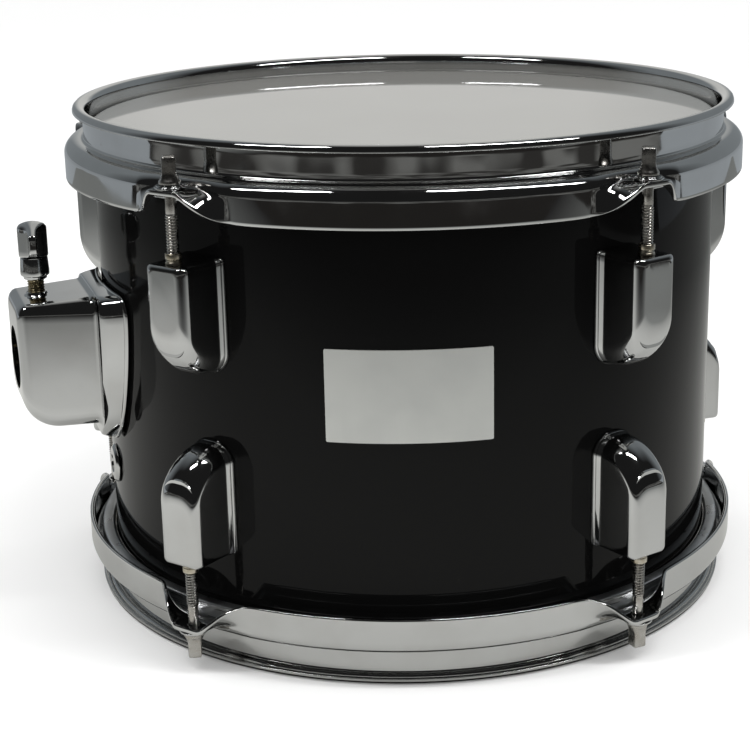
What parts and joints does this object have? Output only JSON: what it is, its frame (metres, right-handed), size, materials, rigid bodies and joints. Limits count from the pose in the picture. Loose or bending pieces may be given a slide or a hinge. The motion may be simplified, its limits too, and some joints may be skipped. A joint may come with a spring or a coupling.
{
  "type": "rack tom-tom",
  "caption": "Double-headed rack tom of a drum kit: ply shell in black wrap, triple-flanged chrome hoops, die-cast lugs with tension rods, and a side bracket with a wing bolt for the tom arm.",
  "frame": {"origin": "centre of the batter head's playing face", "axes": "+Z out of the batter head along the drum's axis, -Y towards the badge, -X towards the arm bracket"},
  "size_m": [0.3624, 0.3423, 0.24],
  "materials": {
    "ply": "clear-lacquered maple ply",
    "wrap_black": "glossy black drum wrap",
    "chrome_plate": "bright nickel-chrome plating on steel or zinc",
    "head_white": "white coated polyester film",
    "flesh_hoop_metal": "plain rolled aluminium channel",
    "rod_plating": "worn plating on steel",
    "nut_brass": "dull nickel-plated brass",
    "shoe_brass": "plain brass",
    "badge_metal": "satin silver plate"
  },
  "bodies": {
    "drum": {"shell": "ply", "wrap": "wrap_black", "bracket_foot": "chrome_plate", "bracket_housing": "chrome_plate", "vent_grommet": "chrome_plate", "badge_plate": "badge_metal", "batter_lug_1": "chrome_plate", "batter_lug_2": "chrome_plate", "batter_lug_3": "chrome_plate", "batter_lug_4": "chrome_plate", "batter_lug_5": "chrome_plate", "batter_swivel_nut_1": "nut_brass", "batter_swivel_nut_2": "nut_brass", "batter_swivel_nut_3": "nut_brass", "batter_swivel_nut_4": "nut_brass", "batter_swivel_nut_5": "nut_brass", "resonant_lug_1": "chrome_plate", "resonant_lug_2": "chrome_plate", "resonant_lug_3": "chrome_plate", "resonant_lug_4": "chrome_plate", "resonant_lug_5": "chrome_plate", "resonant_swivel_nut_1": "nut_brass", "resonant_swivel_nut_2": "nut_brass", "resonant_swivel_nut_3": "nut_brass", "resonant_swivel_nut_4": "nut_brass", "resonant_swivel_nut_5": "nut_brass"},
    "batter_rim": {"batter_hoop": "chrome_plate", "batter_head": "head_white", "batter_flesh_hoop": "flesh_hoop_metal", "batter_washer_1": "chrome_plate", "batter_washer_2": "chrome_plate", "batter_washer_3": "chrome_plate", "batter_washer_4": "chrome_plate", "batter_washer_5": "chrome_plate"},
    "batter_rod_1": {"batter_tension_rod_1": "rod_plating"},
    "batter_rod_2": {"batter_tension_rod_2": "rod_plating"},
    "batter_rod_3": {"batter_tension_rod_3": "rod_plating"},
    "batter_rod_4": {"batter_tension_rod_4": "rod_plating"},
    "batter_rod_5": {"batter_tension_rod_5": "rod_plating"},
    "resonant_rim": {"resonant_hoop": "chrome_plate", "resonant_head": "head_white", "resonant_flesh_hoop": "flesh_hoop_metal", "resonant_washer_1": "chrome_plate", "resonant_washer_2": "chrome_plate", "resonant_washer_3": "chrome_plate", "resonant_washer_4": "chrome_plate", "resonant_washer_5": "chrome_plate"},
    "resonant_rod_1": {"resonant_tension_rod_1": "rod_plating"},
    "resonant_rod_2": {"resonant_tension_rod_2": "rod_plating"},
    "resonant_rod_3": {"resonant_tension_rod_3": "rod_plating"},
    "resonant_rod_4": {"resonant_tension_rod_4": "rod_plating"},
    "resonant_rod_5": {"resonant_tension_rod_5": "rod_plating"},
    "clamp_shoe_body": {"clamp_shoe": "shoe_brass"},
    "wing_bolt": {"clamp_bolt": "chrome_plate"}
  },
  "joints": [
    {"name": "batter_rim_lift", "type": "slide", "parent": "drum", "child": "batter_rim", "axis": [0, 0, 1], "range_m": [0, 0.012]},
    {"name": "batter_rod_1_turn", "type": "hinge", "parent": "batter_rim", "child": "batter_rod_1", "pos_m": [-0.16159, 0.0525, -0.009], "axis": [0, 0, 1], "range_deg": [0, 4084]},
    {"name": "batter_rod_2_turn", "type": "hinge", "parent": "batter_rim", "child": "batter_rod_2", "pos_m": [-0.09986, -0.13745, -0.009], "axis": [0, 0, 1], "range_deg": [0, 4084]},
    {"name": "batter_rod_3_turn", "type": "hinge", "parent": "batter_rim", "child": "batter_rod_3", "pos_m": [0.09986, -0.13745, -0.009], "axis": [0, 0, 1], "range_deg": [0, 4084]},
    {"name": "batter_rod_4_turn", "type": "hinge", "parent": "batter_rim", "child": "batter_rod_4", "pos_m": [0.16159, 0.0525, -0.009], "axis": [0, 0, 1], "range_deg": [0, 4084]},
    {"name": "batter_rod_5_turn", "type": "hinge", "parent": "batter_rim", "child": "batter_rod_5", "pos_m": [0, 0.1699, -0.009], "axis": [0, 0, 1], "range_deg": [0, 4084]},
    {"name": "resonant_rim_lift", "type": "slide", "parent": "drum", "child": "resonant_rim", "axis": [0, 0, -1], "range_m": [0, 0.012]},
    {"name": "resonant_rod_1_turn", "type": "hinge", "parent": "resonant_rim", "child": "resonant_rod_1", "pos_m": [-0.16159, 0.0525, -0.213], "axis": [0, 0, -1], "range_deg": [0, 4084]},
    {"name": "resonant_rod_2_turn", "type": "hinge", "parent": "resonant_rim", "child": "resonant_rod_2", "pos_m": [-0.09986, -0.13745, -0.213], "axis": [0, 0, -1], "range_deg": [0, 4084]},
    {"name": "resonant_rod_3_turn", "type": "hinge", "parent": "resonant_rim", "child": "resonant_rod_3", "pos_m": [0.09986, -0.13745, -0.213], "axis": [0, 0, -1], "range_deg": [0, 4084]},
    {"name": "resonant_rod_4_turn", "type": "hinge", "parent": "resonant_rim", "child": "resonant_rod_4", "pos_m": [0.16159, 0.0525, -0.213], "axis": [0, 0, -1], "range_deg": [0, 4084]},
    {"name": "resonant_rod_5_turn", "type": "hinge", "parent": "resonant_rim", "child": "resonant_rod_5", "pos_m": [0, 0.1699, -0.213], "axis": [0, 0, -1], "range_deg": [0, 4084]},
    {"name": "clamp_shoe_travel", "type": "slide", "parent": "drum", "child": "clamp_shoe_body", "axis": [0, 0, 1], "range_m": [-0.0025, 0.00125]},
    {"name": "wing_bolt_turn", "type": "hinge", "parent": "clamp_shoe_body", "child": "wing_bolt", "pos_m": [-0.17499, -0.05686, -0.06], "axis": [0, 0, 1], "range_deg": [-721, 361]}
  ],
  "couplings": [
    {"joint": "batter_rod_1_turn", "follows": "batter_rim_lift", "rad_per_m": 5937.1},
    {"joint": "batter_rod_2_turn", "follows": "batter_rim_lift", "rad_per_m": 5937.1},
    {"joint": "batter_rod_3_turn", "follows": "batter_rim_lift", "rad_per_m": 5937.1},
    {"joint": "batter_rod_4_turn", "follows": "batter_rim_lift", "rad_per_m": 5937.1},
    {"joint": "batter_rod_5_turn", "follows": "batter_rim_lift", "rad_per_m": 5937.1},
    {"joint": "resonant_rod_1_turn", "follows": "resonant_rim_lift", "rad_per_m": 5937.1},
    {"joint": "resonant_rod_2_turn", "follows": "resonant_rim_lift", "rad_per_m": 5937.1},
    {"joint": "resonant_rod_3_turn", "follows": "resonant_rim_lift", "rad_per_m": 5937.1},
    {"joint": "resonant_rod_4_turn", "follows": "resonant_rim_lift", "rad_per_m": 5937.1},
    {"joint": "resonant_rod_5_turn", "follows": "resonant_rim_lift", "rad_per_m": 5937.1},
    {"joint": "wing_bolt_turn", "follows": "clamp_shoe_travel", "rad_per_m": 5026.5}
  ]
}
